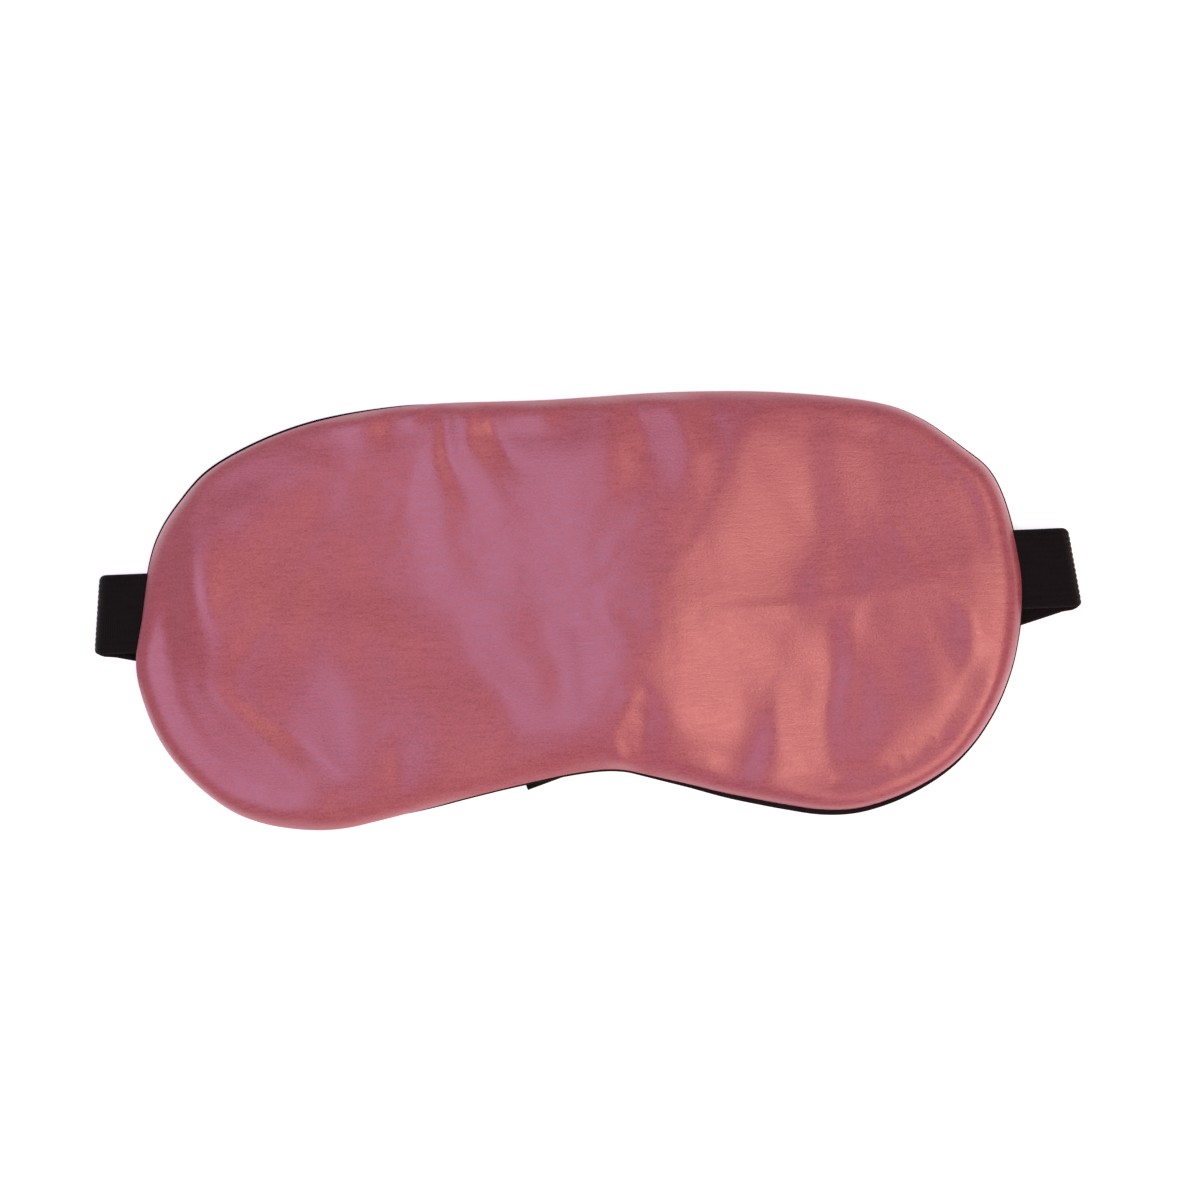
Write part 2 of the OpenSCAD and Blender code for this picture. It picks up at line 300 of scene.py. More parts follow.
def wadding_material(name):
    """Polyester fibre wadding."""
    m = Nodes(name)
    fibres = m.noise((260, 1300, 700), detail=6, roughness=0.7)
    lumps = m.noise((120, 120, 120), detail=3)
    m.drive(Base_Color=m.mix(m.remap(fibres, 0, 1, 0.3, 0.7), (0.62, 0.6, 0.56), (0.86, 0.85, 0.82)))
    m.set(Roughness=0.9, Sheen_Weight=0.3, Subsurface_Weight=0.1)
    m.bump(m.sum(fibres, lumps, 1.2), 0.0006, 0.8)
    return m.material


satin = satin_material("satin")
lining = lining_material("lining", (0.0045, 0.0045, 0.0055))
interlining = lining_material("interlining", (0.03, 0.03, 0.033))
elastic = elastic_material("elastic")
black_thread = thread_material("black_thread", (0.008, 0.008, 0.009), 0.5)
pink_thread = thread_material("pink_thread", (0.36, 0.09, 0.12), 0.45)
slider_plastic = plastic_material("slider_plastic")
wadding = wadding_material("wadding")


# ---------------------------------------------------------------- the mask's outline

OUTLINE_MID = np.array([-2.0, 5.0])
RIM_STEPS = 5
LEAST_SEAM = 2.8


def rim_of(node):
    """A CAD panel's outline corners in order, with the lowest and highest point of its edge at each."""
    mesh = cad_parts[node].data
    found = {}
    for face in mesh.polygons:
        if abs(face.normal.z) < 0.02:
            for v in face.vertices:
                x, y, z = mesh.vertices[v].co / MM
                found.setdefault((round(x, 2), round(y, 2)), []).append(z)
    corners = sorted(found, key=lambda p: math.atan2(p[1] - OUTLINE_MID[1], p[0] - OUTLINE_MID[0]))
    low = np.array([min(found[p]) for p in corners])
    high = np.array([max(found[p]) for p in corners])
    return np.array(corners), low, high


def closed_spline(values, steps):
    """Catmull-Rom through a closed row of values, steps to each."""
    v = np.asarray(values, float)
    a, b, c, d = np.roll(v, 1, 0), v, np.roll(v, -1, 0), np.roll(v, -2, 0)
    rows = [catmull_rom(a, b, c, d, k / steps) for k in range(steps)]
    return np.stack(rows, 1).reshape(-1, *v.shape[1:])


corners, front_edge_low, _ = rim_of("front_panel")
_, _, back_edge_high = rim_of("back_panel")
seam_at_corners = (front_edge_low + back_edge_high) / 2
rim = closed_spline(corners, RIM_STEPS)
rim_seam = (closed_spline(seam_at_corners, RIM_STEPS) ** 8 + LEAST_SEAM ** 8) ** (1 / 8)
rim_count = len(rim)
rim_along = unit(np.roll(rim, -1, 0) - np.roll(rim, 1, 0))
rim_inward = np.stack([-rim_along[:, 1], rim_along[:, 0]], 1)


def from_rim(points):
    """Distance of each point from the rim, and the seam's height there."""
    points = np.asarray(points, float)
    nxt = np.roll(rim, -1, 0)
    step = nxt - rim
    share = np.clip(((points[:, None] - rim) * step).sum(2) / (step * step).sum(1), 0, 1)
    gap = np.linalg.norm(points[:, None] - rim - share[..., None] * step, axis=2)
    best = gap.argmin(1)
    rows = np.arange(len(points))
    t = share[rows, best]
    return gap[rows, best], lerp(rim_seam[best], np.roll(rim_seam, -1)[best], t)


def by_angle(points, table):
    """Values of a table {angle in degrees: value}, turned about the outline's middle."""
    points = np.asarray(points, float)
    angle = np.degrees(np.arctan2(points[:, 1] - OUTLINE_MID[1], points[:, 0] - OUTLINE_MID[0]))
    keys = sorted(table)
    return np.interp(angle, keys, [table[k] for k in keys], period=360)


def inside_rim(points):
    """Whether the outline turns fully round each point."""
    here = rim - points[:, None]
    there = np.roll(rim, -1, 0) - points[:, None]
    cross = here[..., 0] * there[..., 1] - here[..., 1] * there[..., 0]
    return np.abs(np.arctan2(cross, (here * there).sum(2)).sum(1)) > math.pi


# One sheet of points for all the layers: rings next to the rim, then a lattice of triangles.
RINGS = [0.0, 0.45, 1.1, 2.2, 3.8, 5.8]
LATTICE = 2.4
LATTICE_FROM = 7.4
LATTICE_HALF = (120, 60)

sheet_points = np.concatenate([rim + rim_inward * r for r in RINGS])
lattice = []
for row, y in enumerate(np.arange(-LATTICE_HALF[1], LATTICE_HALF[1], LATTICE * math.sqrt(0.75))):
    for x in np.arange(-LATTICE_HALF[0] + (row % 2) * LATTICE / 2, LATTICE_HALF[0], LATTICE):
        lattice.append((x, y))
lattice = np.array(lattice)
lattice = lattice[inside_rim(lattice)]
lattice = lattice[from_rim(lattice)[0] > LATTICE_FROM]
sheet_points = np.concatenate([sheet_points, lattice])
cut = geometry.delaunay_2d_cdt(
    [Vector(p) for p in sheet_points], [], [list(range(rim_count))], 1, 1e-6
)
if len(cut[0]) != len(sheet_points):
    raise RuntimeError(f"the sheet has {len(cut[0])} points in place of {len(sheet_points)}")
origin = np.array([o[0] for o in cut[3]])
sheet_faces = origin[np.array(cut[2])]
a, b, c = (sheet_points[sheet_faces[:, k]] for k in range(3))
turned = (b - a)[:, 0] * (c - a)[:, 1] - (b - a)[:, 1] * (c - a)[:, 0] < 0
sheet_faces[turned] = sheet_faces[turned][:, ::-1]
sheet_d, sheet_seam = from_rim(sheet_points)
sheet_d[:rim_count] = 0


# ---------------------------------------------------------------- folds of the satin

def beside_line(points, line):
    """Distance from each point to a line through several points, and how far along it, in its points."""
    line = np.asarray(line, float)
    best = np.full(len(points), 1e9)
    where = np.zeros(len(points))
    for i in range(len(line) - 1):
        step = line[i + 1] - line[i]
        t = np.clip(((points - line[i]) @ step) / (step @ step), 0, 1)
        gap = np.linalg.norm(points - line[i] - t[:, None] * step, axis=1)
        near = gap < best
        best[near] = gap[near]
        where[near] = i + t[near]
    return best, where


CURVE_STEPS = 5


def curve(values):
    """Catmull-Rom through an open row of values."""
    v = np.asarray(values, float)
    v = np.concatenate([[2 * v[0] - v[1]], v, [2 * v[-1] - v[-2]]])
    rows = []
    for i in range(1, len(v) - 2):
        rows += [catmull_rom(*v[i - 1:i + 3], k / CURVE_STEPS) for k in range(CURVE_STEPS)]
    return np.array(rows + [v[-2]])


def ridge(points, line, heights, widths):
    """A soft ridge, or a valley where its height is below zero."""
    gap, where = beside_line(points, curve(line))
    index = np.arange(CURVE_STEPS * (len(line) - 1) + 1)
    height = np.interp(where, index, curve(heights))
    width = np.interp(where, index, curve(widths))
    return height * np.exp(-((gap / width) ** 2))


# A slope that steepens, then ends within a short way
CRISP_END = 1.08
CRISP_AT = np.linspace(0, CRISP_END, 60)
CRISP_RISE = np.cumsum(np.minimum(CRISP_AT, (CRISP_END - CRISP_AT) * 4))
CRISP_RISE = CRISP_RISE / CRISP_RISE[-1]

# Heights at which the course of a slope is worked out, and how far it is smoothed along them
COURSE_Y = np.arange(-75.0, 76.0, 1.5)
COURSE_SMOOTH = 5.0
COURSE_BLUR = np.exp(-((COURSE_Y[:, None] - COURSE_Y) ** 2) / (2 * COURSE_SMOOTH ** 2))
COURSE_BLUR = COURSE_BLUR / COURSE_BLUR.sum(1, keepdims=True)


def course(y, ys, values):
    """Values given at some heights ys, as a smooth function of y."""
    order = np.argsort(ys)
    table = np.interp(COURSE_Y, np.asarray(ys, float)[order], np.asarray(values, float)[order])
    return np.interp(y, COURSE_Y, COURSE_BLUR @ table)


def facing(points, ys, xs, halves, heights, crisp):
    """A slope that climbs from left to right by heights across a band of half-width halves about xs."""
    y = points[:, 1]
    half = course(y, ys, halves)
    t = (points[:, 0] - course(y, ys, xs) + half) / (2 * half)
    return course(y, ys, heights) * (np.interp(t, CRISP_AT, CRISP_RISE) if crisp else smooth(t))


# The numbers in the tables from here to RISE_LENGTH aren't chosen by hand: a separate program fitted them to
# the photo's shading, and only a few were changed afterwards.

# y, x, half-width and climb of each broad slope, from the top edge down, and whether it ends crisply
SLOPES = [
    (
        [45, 30, 12, 0, -15, -40], [-68.5, -68.4, -83.3, -80.5, -90.8, -61.1],
        [15.4, 11.8, 15.4, 8, 3, 8.7], [-3.4, -2.95, -2, -0.95, -1.7, -1.25], False,
    ),
    (
        [45, 30, 3, -19, -28, -38], [-12.6, -20.4, -13.1, -14.8, -1, -8.1],
        [23.1, 22.1, 19.4, 11.7, 9.7, 6.1], [1.15, 1.5, 2.95, 0.55, 0.9, 1.25], True,
    ),
    (
        [36, 27, 3, -19, -26, -36], [-34.2, -38.8, -38.2, -13.9, -11.1, -8.6],
        [4.8, 3.7, 12, 6.5, 10.6, 6.3], [0.65, 1.4, -0.55, 0.8, 1.55, 0], False,
    ),
    (
        [50, 42.6, 18.9, 0.2, -31.4, -46], [51.6, 44.9, 43.9, 30.2, 28.9, 23.8],
        [7.6, 6.8, 14.7, 19.5, 12.3, 8.6], [-1.6, -1.7, -3.6, -3.85, -3.95, -3.05], False,
    ),
    (
        [45, 35, 20, 8, -5], [63.7, 61.3, 64.1, 66.8, 59.2],
        [4.3, 6, 5.3, 7.3, 3.7], [0.1, 0, 0.8, 1.2, 0.4], False,
    ),
    (
        [-12, -20, -36, -46], [48.2, 46.2, 46.1, 46.2],
        [6, 3.6, 3, 11.3], [0.25, -0.3, -0.6, -2.65], False,
    ),
    (
        [-4, -14, -30, -46], [58.9, 61.3, 56.4, 56.3],
        [3, 3.4, 3, 3], [0, 0.45, 0.5, 0.1], False,
    ),
]

# Line, heights and widths of each narrow fold that doesn't run into the edge
FOLDS = [
    ([(-4, 8), (-9.2, -2), (-6.2, -13), (-7.8, -22)], [0.5, -0.7, -0.5, -0.6], [12, 5.7, 5.7, 6]),
    ([(-57.8, -10), (-56.9, -24), (-57.6, -42)], [0.35, 0.85, 0.15], [11, 6.8, 4.4]),
    (
        [(19, -3.4), (37.5, -2.1), (77.8, 1), (86.3, 5), (98, 10.6)],
        [0.55, 1.05, 1.05, 0.4, -0.1], [7.5, 10.8, 10.1, 7.5, 4.6],
    ),
    ([(26.2, -3), (48.7, -1.6), (76.8, 1.6), (97.7, 10)], [-0.05, 0.3, 0.05, 0.05], [2.5, 1.6, 2.4, 2]),
]

# The same for the puckers, which start in the edge seam
PUCKERS = [
    ([(-29.3, 51), (-32.9, 42), (-37.5, 31), (-38.4, 22)], [1.2, 0.15, 0.25, -0.25], [1.3, 2.8, 3, 4]),
    ([(-26.6, 51), (-26.5, 42), (-22, 33), (-19.5, 24)], [0.95, 0.5, 0.55, 0.4], [1.3, 2.4, 3.3, 4.5]),
    ([(-31.1, 50.5), (-31.7, 38), (-27.1, 25), (-25.5, 17)], [-0.5, -0.8, -0.2, 0.25], [0.7, 2.2, 3.3, 4.9]),
    ([(-24.8, 51), (-18.2, 38), (-9.6, 29)], [-0.25, -0.35, 0], [1.2, 0.7, 4.8]),
    ([(-38.5, 51), (-40, 44)], [1.4, 0.25], [1.8, 3.6]),
    ([(-34.3, 51), (-35, 43)], [-0.2, 0.2], [0.8, 1.7]),
    ([(-52.1, 49.5), (-50.8, 38)], [1.85, 0.6], [8.1, 7]),
    ([(-45.9, 50.5), (-44.3, 40)], [-0.4, 0], [1.7, 2.7]),
    ([(-3.1, 51), (-6.2, 42)], [0.6, -0.15], [1.3, 2.2]),
    ([(-7.6, 51), (-7.8, 43)], [0.5, 0.2], [1.2, 2.7]),
    ([(-8.6, 51), (-12.6, 44)], [1.15, 0.25], [1.9, 5.8]),
    ([(5.9, 51), (8.2, 37), (6.7, 28)], [1.65, 0.35, 0.25], [3.9, 5.4, 4.2]),
    ([(13.4, 51), (15, 37)], [-0.15, -0.45], [1.4, 3]),
    ([(15.4, 51), (15.3, 43)], [0.5, 0.2], [1.3, 2]),
    ([(19.6, 51.5), (27.9, 38)], [2, 0.2], [5.7, 4.9]),
    ([(29.1, 51.5), (30.8, 42)], [-0.4, -0.85], [1.5, 3.5]),
    ([(6.6, -41), (4.9, -31), (9.2, -22)], [2.05, 0.25, 0.4], [3.7, 2.1, 2.5]),
    ([(13.6, -42), (12.4, -33), (13.1, -27)], [-0.3, -0.4, -0.4], [1.3, 2.4, 2.1]),
    ([(-44.9, -48), (-45.7, -36), (-45.1, -27)], [0.4, -0.5, 0], [1.9, 4, 3.9]),
    ([(-50.4, -49), (-49.4, -38)], [-0.15, -0.05], [1.8, 3.3]),
    ([(-26.6, -43.5), (-26.6, -35)], [-0.1, 0.15], [1.8, 4]),
]

# Lumps and hollows of the padding: x, y, length, width and height
LUMPS = [
    (-84, -34, 23, 21, -2.9), (-75, -50, 8, 5, 3), (-40, -29, 13, 18, 0.5), (-23, -24, 7, 15, -0.4),
    (18, -41, 12, 15, -0.8), (50, -41, 15, 23, 1.7), (60, -31, 11, 10, -1.2), (70, -38, 7, 11, 1),
    (-106, -2, 14, 22, -3.7), (-81, -18, 7, 16, 0.7), (-55, -9, 9, 10, -0.3), (-34, -6, 11, 14, -1.3),
    (-20, -14, 14, 13, -0.5), (10, -15, 9, 9, 1.5), (23, -17, 8, 13, 1), (39, -15, 11, 11, 1.2),
    (81, -19, 11, 18, 0.9), (92, -9, 6, 13, 1.4), (-92, 8, 6, 12, 2), (-82, 0, 20, 17, 1.9),
    (-58, 7, 17, 10, -0.8), (-45, 10, 12, 17, -1.1), (-26, 18, 11, 9, -0.9), (-1, 11, 13, 10, -0.5),
    (16, 14, 12, 16, 0.8), (41, 12, 13, 12, 0.6), (71, 11, 9, 20, -0.7), (87, 12, 8, 15, -0.5),
    (-88, 39, 16, 13, -3.5), (-61, 39, 15, 7, 1.5), (-35, 42, 14, 8, 1.5), (-19, 38, 8, 12, -0.9),
    (2, 37, 15, 8, 1.3), (26, 37, 6, 12, 0.9), (44, 40, 12, 12, 1.4), (60, 41, 6, 15, 0.9),
]

# The rise from the rounded edge to the middle: its height and length, by the direction from the middle
EDGE_TOP = 4.5
EDGE_ROUND = 0.6
RISE = {
    -180: 6, -165: 6.2, -150: 6.2, -135: 6.2, -120: 6.2, -105: 6.2, -90: 6.3, -75: 6.2, -60: 6.1, -45: 6.1,
    -30: 6, -15: 6, 0: 6, 15: 6.1, 30: 6.2, 45: 6.3, 60: 6.2, 75: 6.2, 90: 6.1, 105: 6, 120: 6, 135: 6.1,
    150: 6.1, 165: 6.1,
}
RISE_LENGTH = {
    -180: 4, -165: 5.4, -150: 4.3, -135: 4.6, -120: 4.1, -105: 4, -90: 4, -75: 4, -60: 4, -45: 3.9, -30: 4,
    -15: 2.6, 0: 2.6, 15: 2.8, 30: 4.6, 45: 4, 60: 4, 75: 4, 90: 4, 105: 4, 120: 4, 135: 7.7, 150: 8.2,
    165: 4,
}


def lumps(points):
    x, y = points[:, 0], points[:, 1]
    return sum(
        height * np.exp(-(((x - x0) / length) ** 2) - ((y - y0) / width) ** 2)
        for x0, y0, length, width, height in LUMPS
    )


def front_height(points, d, seam):
    low = seam + 0.8
    z = low + (EDGE_TOP - low) * (1 - np.exp(-d / EDGE_ROUND))
    z += by_angle(points, RISE) * (1 - np.exp(-d / by_angle(points, RISE_LENGTH)))
    slopes = sum(facing(points, *s) for s in SLOPES)
    folds = sum(ridge(points, *f) for f in FOLDS)
    puckers = sum(ridge(points, *p) for p in PUCKERS)
    z += (slopes + folds + lumps(points)) * smooth(d / 9)
    z += puckers * (1 - np.exp(-((d / 1.3) ** 2)))
    z += 0.1 * ripple(points, 17, 3) * smooth(d / 6)
    return z


# ---------------------------------------------------------------- cloth simulation

SIM_SCALE = 10.0
SIM_FRAMES = 16


def settle(points, faces, pinned, hold, pressure, slack, most):
    """Runs Blender's cloth solver on a panel: its rim is sewn down, the padding's pressure fills it
    and slack adds a little extra cloth. Returns the points, none moved further than most."""
    obj = new_object("settling", points * SIM_SCALE, faces, None)
    group = obj.vertex_groups.new(name="pin")
    for v in range(len(points)):
        group.add([v], 1.0 if pinned[v] else float(hold[v]), "REPLACE")
    cloth = obj.modifiers.new("cloth", "CLOTH")
    cloth.settings.quality = 5
    cloth.settings.mass = 0.3
    cloth.settings.tension_stiffness = 15
    cloth.settings.compression_stiffness = 8
    cloth.settings.shear_stiffness = 4
    cloth.settings.bending_stiffness = 2.0
    cloth.settings.air_damping = 2
    cloth.settings.vertex_group_mass = "pin"
    cloth.settings.pin_stiffness = 1.0
    cloth.settings.use_pressure = True
    cloth.settings.uniform_pressure_force = pressure
    cloth.settings.shrink_min = -slack
    cloth.settings.effector_weights.gravity = 0
    cloth.collision_settings.use_collision = False
    cloth.collision_settings.use_self_collision = False
    scene = bpy.context.scene
    cloth.point_cache.frame_start, cloth.point_cache.frame_end = 1, SIM_FRAMES
    for f in range(1, SIM_FRAMES + 1):
        scene.frame_set(f)
    graph = bpy.context.evaluated_depsgraph_get()
    made = obj.evaluated_get(graph).to_mesh()
    co = np.zeros(len(made.vertices) * 3)
    made.vertices.foreach_get("co", co)
    co = co.reshape(-1, 3) / MM / SIM_SCALE
    obj.evaluated_get(graph).to_mesh_clear()
    bpy.data.objects.remove(obj)
    scene.frame_set(1)
    move = co - points
    size = np.linalg.norm(move, axis=1, keepdims=True)
    print("settled: mean move %.2f mm, largest %.2f mm" % (size.mean(), size.max()))
    return points + move * np.minimum(1, most / np.maximum(size, 1e-9))


def normals_of(points, faces):
    a, b, c = (points[faces[:, k]] for k in range(3))
    n = np.cross(b - a, c - a)
    total = np.zeros_like(points)
    for k in range(3):
        np.add.at(total, faces[:, k], n)
    return unit(total)


# ---------------------------------------------------------------- the mask's layers

def with_edge(points, faces, profile):
    """Adds rings beyond the sheet's first ring. profile gives each ring's inset and height per rim point."""
    rings = [points]
    joined = [faces]
    last = np.arange(rim_count)
    start = len(points)
    for inset, height in profile:
        flat = rim + rim_inward * np.broadcast_to(inset, rim_count)[:, None]
        rings.append(np.column_stack([flat, np.broadcast_to(height, rim_count)]))
        ring = np.arange(start, start + rim_count)
        nxt_last, nxt_ring = np.roll(last, -1), np.roll(ring, -1)
        joined.append(np.column_stack([last, ring, nxt_ring]))
        joined.append(np.column_stack([last, nxt_ring, nxt_last]))
        last = ring
        start += rim_count
    return np.concatenate(rings), np.concatenate(joined)


def panel(name, points, faces, material, thickness, offset, levels=1):
    obj = new_object(name, points, faces, material)
    set_uv(obj, points[:, :2] * MM)
    subdivide = obj.modifiers.new("subdivide", "SUBSURF")
    subdivide.levels = subdivide.render_levels = levels
    solid = obj.modifiers.new("thickness", "SOLIDIFY")
    solid.thickness = thickness * MM
    solid.offset = offset
    solid.use_even_offset = False
    return apply_modifiers(obj)


SATIN_T, LINING_T, BLACKOUT_T = 0.35, 0.3, 0.25

# Satin front
front_z = front_height(sheet_points, sheet_d, sheet_seam)
front_start = np.column_stack([sheet_points, front_z])
pinned = sheet_d < 0.3
hold = 0.85 - 0.25 * smooth(sheet_d / 12)
front_points = settle(front_start, sheet_faces, pinned, hold, 0.2, 0.003, 0.6)
front_normals = normals_of(front_points, sheet_faces)
FRONT_HEM = [
    (0.0, rim_seam + 0.55), (0.06, rim_seam + 0.3), (0.35, rim_seam + 0.16), (0.9, rim_seam + 0.12),
]
hemmed, hemmed_faces = with_edge(front_points, sheet_faces, FRONT_HEM)
front = panel("satin_front", hemmed, hemmed_faces, satin, SATIN_T, -1)
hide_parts("front_panel")
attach(front, "mask")

# Lining at the back. Its rolled edge shows beyond the satin where ROLL is above zero.
ROLL = {
    -180: 0.3, -172: 0.0, -150: 0.0, -134: 0.0, -124: 0.4, -108: 0.5, -98: 0.55, -85: 0.6, -75: 0.6,
    -62: 0.95, -55: 1.25, -45: 1.4, -36: 1.2, -25: 0.6, -10: 0.4, 0: 0.45, 12: 0.45, 25: 0.25, 40: 0.1,
    55: 0.0, 90: 0.0, 120: 0.0, 132: 0.3, 145: 0.6, 160: 0.65, 172: 0.5,
}
BACK_TOP = 5.8
BACK_LIP = 1.5
BACK_RUN = 14.5


def back_height(points, d, seam):
    t = 1 - np.clip((d - BACK_LIP) / BACK_RUN, 0, 1)
    z = lerp(seam - 0.55, BACK_TOP, np.sqrt(1 - t * t)) - 0.25
    return z + 0.16 * ripple(points, 21, 8) * smooth((d - 3) / 12)


back_z = back_height(sheet_points, sheet_d, sheet_seam)
back_start = np.column_stack([sheet_points, back_z])
back_start[:rim_count, 2] = rim_seam - 0.85
back_points = settle(back_start, sheet_faces[:, ::-1], pinned, hold, 0.0, 0.01, 0.5)
roll = by_angle(rim, ROLL)
roll = roll - 0.3 * (1 - smooth(roll / 0.3))
BACK_HEM = [
    (-roll * 0.9, rim_seam - 0.75), (-roll, rim_seam - 0.45), (-roll * 0.92, rim_seam - 0.15),
    (-roll * 0.5 + 0.1, rim_seam + 0.02), (0.9, rim_seam + 0.02),
]
hemmed, hemmed_faces = with_edge(back_points, sheet_faces, BACK_HEM)
back = panel("lining_back", hemmed, hemmed_faces[:, ::-1], lining, LINING_T, -1)
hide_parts("back_panel")
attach(back, "mask")

# Blackout layer under the satin, and the padding between it and the lining
BLACKOUT_FROM, BLACKOUT_DEPTH = 1.0, 0.85
PAD_FROM, PAD_DEPTH, PAD_ABOVE_BACK = 3.7, 1.6, 0.5


def part_of_sheet(least):
    """The points and faces of the sheet at least that far from the rim."""
    keep = sheet_d >= least
    index = np.cumsum(keep) - 1
    return keep, index[sheet_faces[keep[sheet_faces].all(1)]]


keep, blackout_faces = part_of_sheet(BLACKOUT_FROM)
blackout_points = (front_points - front_normals * BLACKOUT_DEPTH)[keep]
blackout = panel("blackout_sheet", blackout_points, blackout_faces, interlining, BLACKOUT_T, -1, levels=0)
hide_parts("blackout_layer")
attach(blackout, "mask")

keep, pad_faces = part_of_sheet(PAD_FROM)
pad_top = (front_points - front_normals * PAD_DEPTH)[keep]
pad_top[:, 2] += 0.12 * ripple(pad_top, 6, 21)
pad_low = back_points[keep] + np.array([0, 0, PAD_ABOVE_BACK])
count = len(pad_top)
pad_edges = dict.fromkeys((int(f[k]), int(f[(k + 1) % 3])) for f in pad_faces for k in range(3))
border = [e for e in pad_edges if (e[1], e[0]) not in pad_edges]
pad_sides = [(e[1], e[0], e[0] + count) for e in border]
pad_sides += [(e[1], e[0] + count, e[1] + count) for e in border]
pad_all = np.concatenate([pad_faces, pad_faces[:, ::-1] + count, np.array(pad_sides)])
pad = new_object("padding_wadding", np.concatenate([pad_top, pad_low]), pad_all, wadding)
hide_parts("padding")
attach(pad, "mask")


# ---------------------------------------------------------------- straps

STRAP_W, STRAP_T = 19.0, 1.0
LEFT_REACH, RIGHT_REACH, RIGHT_ROOT_Y = 114.9, 118.7, 4.6
LEFT_SLOPE, RIGHT_SLOPE = 12.0, 15.8
RIGHT_RUN = 139.0
SLIDER_AT = 75.0
ELBOW_R = 40.0
CREASE_R = 1.8
STRAP_Z = STRAP_T / 2
TAB_Z = STRAP_Z + 2 * CREASE_R
FREE_FROM, SPLIT_U = 4.0, 38.0
TAIL_SPREAD = 1.07
SEWN_IN = ((5.6, 5.75), (4.4, 5.5), (2.8, 4.85), (1.2, TAB_Z + 0.05))
SEWN_OUT = (1.2, 3.0, 5.0)
BARS = (-5.6, -0.6, 5.6)
BAR_HALF = 1.2
SLIDER_W, SLIDER_T, SLIDER_Z = 25.0, 1.4, 3.0
LOOP_LOW, LOOP_HIGH = SLIDER_Z - 1.4, SLIDER_Z + 1.4
ELBOW_Z = 1.9

SHIFT = (
    (LEFT_REACH + STRAP_W / 2 * math.tan(math.radians(LEFT_SLOPE / 2)))
    - (RIGHT_REACH + STRAP_W / 2 * math.tan(math.radians(RIGHT_SLOPE / 2)))
) / 2
right_way = heading(180 + RIGHT_SLOPE)
right_crease = np.array([RIGHT_REACH + SHIFT, RIGHT_ROOT_Y]) - heading(RIGHT_SLOPE / 2) * CREASE_R
elbow_mid = right_crease + right_way * (SLIDER_AT + 21) + heading(90 + RIGHT_SLOPE) * ELBOW_R
left_way = heading(-LEFT_SLOPE)
elbow_start = elbow_mid + heading(-LEFT_SLOPE - 90) * ELBOW_R
left_run = elbow_start[0] - SHIFT + LEFT_REACH - CREASE_R * math.cos(math.radians(LEFT_SLOPE / 2))
left_run = left_run / left_way[0]
left_crease = elbow_start - left_way * left_run
LEFT_RIM = (-104.0 + SHIFT, 0.19)
RIGHT_RIM = (105.7 + SHIFT, -0.075)

right_half = np.array([*heading(90 + RIGHT_SLOPE), 0]) * STRAP_W / 2
left_half = np.array([*heading(90 - LEFT_SLOPE), 0]) * STRAP_W / 2

CORNER_LOSS = 0.07
RIBS = 14
RIB_FACETS = 5
RIGHT_RIB, LEFT_RIB = 0.16, 0.1


def on_right(u, z):
    return [*(right_crease + right_way * u), z]


def on_left(u, z):
    return [*(left_crease + left_way * u), z]


def crease(mid, out, steps=14):
    """The turn of a strap from its tab above to its run below: points and half-width vectors."""
    tilt = math.radians(180 - out if out > 90 else out)
    side = -1 if out > 90 else 1
    axis = side * np.array([-math.sin(math.radians(out)), math.cos(math.radians(out)), 0])
    points = []
    for k in range(steps + 1):
        a = lerp(math.pi / 2, -math.pi / 2, k / steps)
        points.append(
            np.array([*mid, STRAP_Z + CREASE_R])
            + np.array([*heading(out), 0]) * CREASE_R * math.cos(a)
            + axis * math.tan(tilt) * CREASE_R * a
            + np.array([0, 0, CREASE_R * math.sin(a)])
        )
    full = axis * STRAP_W / 2 / math.cos(tilt)
    losses = [CORNER_LOSS * math.cos(math.pi * (k / steps - 0.5)) ** 3 for k in range(steps + 1)]
    return points, [full * (1 - loss) for loss in losses]


def root(side, rim_place, mid, out):
    """The sewn end of a strap, its tab and its crease."""
    folded, halves = crease(mid, out)
    y = folded[0][1]
    inner = [[rim_place[0] - side * d, y, z] for d, z in SEWN_IN]
    outer = [[rim_place[0] + side * d, y, TAB_Z] for d in SEWN_OUT]
    outer = [p for p in outer if side * p[0] < side * folded[0][0] - 0.5]
    lean = np.array([rim_place[1], 1, 0]) * STRAP_W / 2
    straight = np.array([0, 1, 0]) * STRAP_W / 2
    return inner + outer + folded, [lean] * len(inner) + [straight] * len(outer) + halves


def resample(points, halves, step):
    """Adds stations along a strap, step apart or less, and gives each one's length from the start."""
    points, halves = np.array([list(p) for p in points], float), np.array(halves, float)
    length = np.concatenate([[0], np.cumsum(np.linalg.norm(np.diff(points, axis=0), axis=1))])
    stations = [0.0]
    for i in range(len(points) - 1):
        n = max(1, math.ceil((length[i + 1] - length[i]) / step))
        stations += list(np.linspace(length[i], length[i + 1], n + 1)[1:])
    stations = np.array(stations)

    def at_stations(values):
        return np.column_stack([np.interp(stations, length, values[:, k]) for k in range(3)])

    return at_stations(points), at_stations(halves), stations


